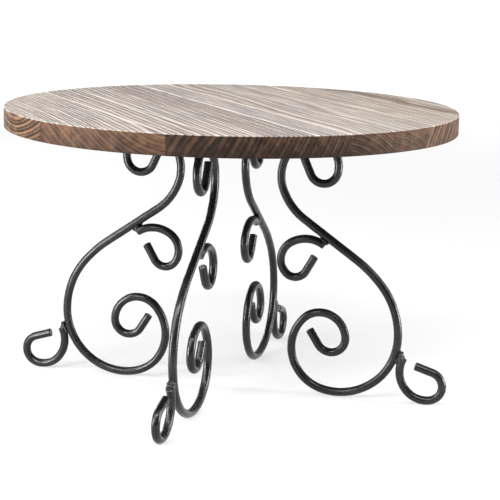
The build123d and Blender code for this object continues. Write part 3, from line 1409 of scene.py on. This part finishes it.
@dataclass
class Fixings:
    """Steel tabs on the crests of the legs, and the pan-head screws that hold them.

    The head's wall is the share of its height that stands upright. Its crown rises in steps,
    each given by how far it goes in and the share of the head's height that it rises. The
    driver's turn is how far the cross of a screw is turned.
    """

    tab_underside: float = 175.1
    crest_out: float = 56.0
    hole_spacing: float = 34.0
    head_diameter: float = 7.6
    head_height: float = 2.2
    head_wall: float = 0.45
    head_sides: int = 32
    head_steps: tuple[Pair, ...] = ((0.45, 0.231), (0.6, 0.1925), (0.7, 0.1265))
    shank_diameter: float = 3.5
    shank_length: float = 12.0
    shank_taper: float = 0.8
    shank_sides: int = 20
    recess_width: float = 1.05
    recess_length: float = 4.4
    recess_depth: float = 1.3
    recess_taper: float = 0.62
    driver_turn: float = 23
    sharp_angle: float = 40

    def build(self, frame: dict) -> None:
        """Paints the tabs and makes the screws.

        Args:
            frame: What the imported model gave.
        """
        bm = bmesh.new()
        for leg in Leg:
            tab = frame["nodes"][leg.node("mounting_tab")]
            tab.data.materials.clear()
            tab.data.materials.append(material_of(TAB_PAINT))
            for side in (-1, 1):
                aside = side * self.hole_spacing / 2
                hole = Matrix.Translation((self.crest_out, aside, self.tab_underside))
                turn = math.radians(self.driver_turn * side + leg.value / 5)
                self._screw(bm, leg.turn() @ hole @ Matrix.Rotation(turn, 4, "Z"))
        soften(bm, self.sharp_angle)
        finish_piece("pan_head_screws", bm, ZINC, "tab_screws")

    def _screw(self, bm: BMesh, place: Matrix) -> None:
        """Adds one screw to a mesh.

        Args:
            bm: The mesh.
            place: Frame with Z up the shank from the underside of the head.
        """
        before = set(bm.verts)
        head = self.head_diameter / 2
        add_round(bm, self.head_sides, (head, head), -self.head_height * self.head_wall, 0.0)
        grown = [vert for vert in bm.verts if vert not in before]
        crown = next(face for vert in grown for face in vert.link_faces if face.normal.z < -LOOKS_UP)
        for width, rise in self.head_steps:
            step_in(bm, crown, width, Vector((0, 0, -rise * self.head_height)))
        self._recess(bm, crown)
        shank = self.shank_diameter / 2
        add_round(bm, self.shank_sides, (shank, shank * self.shank_taper), 0.0, self.shank_length)
        added = [vert for vert in bm.verts if vert not in before]
        bmesh.ops.transform(bm, matrix=place, verts=added)

    def _recess(self, bm: BMesh, crown: BMFace) -> None:
        """Presses a cross into the crown of a head.

        Args:
            bm: The mesh.
            crown: The flat face in the middle of the head.
        """
        half = self.recess_width / 2
        reach = self.recess_length / 2
        faces = [crown]
        for way in (Vector((1, 0, 0)), Vector((0, 1, 0))):
            for offset in (-reach, -half, half, reach):
                faces = slice_faces(bm, faces, way * offset, way)
        cross = []
        for face in faces:
            middle = face.calc_center_median()
            narrow, wide = sorted((abs(middle.x), abs(middle.y)))
            if narrow < half and wide < reach:
                cross.append(face)
        pressed = bmesh.ops.extrude_face_region(bm, geom=cross)
        moved = [item for item in pressed["geom"] if isinstance(item, BMVert)]
        bmesh.ops.delete(bm, geom=[face for face in cross if face.is_valid], context="FACES_ONLY")
        bmesh.ops.translate(bm, vec=(0, 0, self.recess_depth), verts=moved)
        bmesh.ops.scale(bm, vec=(self.recess_taper, self.recess_taper, 1.0), verts=moved)


# ---- Studio ----


@dataclass(frozen=True)
class Softbox:
    """An area light that looks at the stand."""

    name: str
    turn: float
    height: float
    distance: float
    width: float
    tall: float
    power: float


@dataclass
class Studio:
    """Pale lit floor, soft lights and the camera.

    Angles are degrees. The camera's turn is from the front of the part's frame, and its other
    angles are measured from a level look at the stand's axis. The clip distances are metres.
    """

    eye_distance: float = 1103.0
    eye_height: float = 313.8
    eye_turn: float = 16.621
    look_down: float = 11.261
    look_aside: float = 0.720
    tilt: float = 1.182
    focal_pixels: float = 1674.5
    picture_pixels: float = 500.0
    sensor_width: float = 36.0
    clip_start: float = 0.05
    clip_end: float = 30.0
    floor_size: float = 40000.0
    floor_drop: float = 0.06
    aim_height: float = 100.0
    dome_power: float = 0.4
    dome_angle: float = 120.0
    room_light: float = 0.22
    room_colour: Colour = (0.95, 0.97, 1.0)
    boxes: tuple[Softbox, ...] = (
        Softbox("left_softbox", -74, 500, 1250, 200, 1500, 21.5),
        Softbox("right_softbox", 80, 500, 1250, 200, 1500, 15.0),
        Softbox("front_left_softbox", -38, 800, 1150, 260, 700, 7.2),
        Softbox("upper_softbox", 0, 1230, 820, 1200, 300, 16.0),
        Softbox("back_left_panel", -147, 260, 1200, 300, 400, 3.0),
        Softbox("back_right_panel", 113, 230, 1200, 300, 340, 2.8),
        Softbox("low_left_panel", -62, 85, 450, 90, 140, 1.1),
        Softbox("low_right_panel", 80, 85, 450, 90, 140, 1.0),
    )

    def build(self) -> None:
        """Sets up the floor, the lights and the camera."""
        self._floor()
        for box in self.boxes:
            self._light(box)
        self._dome()
        self._room()
        self._camera()

    def _floor(self) -> None:
        """Lays the table top."""
        bm = bmesh.new()
        bmesh.ops.create_grid(bm, x_segments=8, y_segments=8, size=self.floor_size / 2)
        bmesh.ops.translate(bm, vec=(0, 0, -self.floor_drop), verts=bm.verts)
        make_object("table_top", bm, TABLE)

    def _light(self, box: Softbox) -> None:
        """Hangs one softbox, turned from the camera to its right.

        Args:
            box: Its place, size and power.
        """
        data = bpy.data.lights.new(box.name, "AREA")
        data.shape = "RECTANGLE"
        data.size = box.width * MM
        data.size_y = box.tall * MM
        data.energy = box.power
        angle = math.radians(self.eye_turn - 90 + box.turn)
        toward = Vector((math.cos(angle), math.sin(angle), 0.0))
        place = (toward * box.distance + Vector((0, 0, box.height))) * MM
        aim = Vector((0, 0, self.aim_height * MM)) - place
        light = add_object(box.name, data)
        light.location = place
        light.rotation_euler = aim.to_track_quat("-Z", "Y").to_euler()

    def _dome(self) -> None:
        """Hangs a wide even light overhead."""
        data = bpy.data.lights.new("overhead_dome", "SUN")
        data.energy = self.dome_power
        data.angle = math.radians(self.dome_angle)
        add_object("overhead_dome", data)

    def _room(self) -> None:
        """Fills the room with a pale even light."""
        world = bpy.data.worlds.new("studio_room")
        world.use_nodes = True
        back = world.node_tree.nodes["Background"]
        back.inputs["Color"].default_value = (*self.room_colour, 1.0)
        back.inputs["Strength"].default_value = self.room_light
        bpy.context.scene.world = world

    def _camera(self) -> None:
        """Puts the camera where the picture was taken from."""
        data = bpy.data.cameras.new("picture_camera")
        data.sensor_width = self.sensor_width
        data.lens = self.focal_pixels / self.picture_pixels * self.sensor_width
        data.clip_start = self.clip_start
        data.clip_end = self.clip_end
        down, aside, tilt = (math.radians(angle) for angle in (self.look_down, self.look_aside, self.tilt))
        level = Vector((math.sin(aside), math.cos(aside), 0.0))
        ahead = level * math.cos(down) - Vector((0.0, 0.0, math.sin(down)))
        right = Vector((math.cos(aside), -math.sin(aside), 0.0))
        look = Matrix((right, right.cross(ahead), -ahead)).transposed().to_4x4()
        place = Matrix.Translation(Vector((0, -self.eye_distance, self.eye_height)) * MM)
        round_stand = Matrix.Rotation(math.radians(self.eye_turn), 4, "Z")
        camera = add_object("picture_camera", data)
        camera.matrix_world = round_stand @ place @ look @ Matrix.Rotation(tilt, 4, "Z")
        bpy.context.scene.camera = camera
        bpy.context.scene.view_settings.view_transform = "Standard"


def main() -> None:
    """Builds the stand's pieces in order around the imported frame."""
    logging.basicConfig(level=logging.INFO, format="%(name)s %(message)s")
    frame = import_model()
    Board().build()
    leg_maker = ScrollLeg()
    for leg in Leg:
        leg_maker.build(leg)
    Fixings().build(frame)
    Studio().build()


if __name__ == "__main__":
    main()
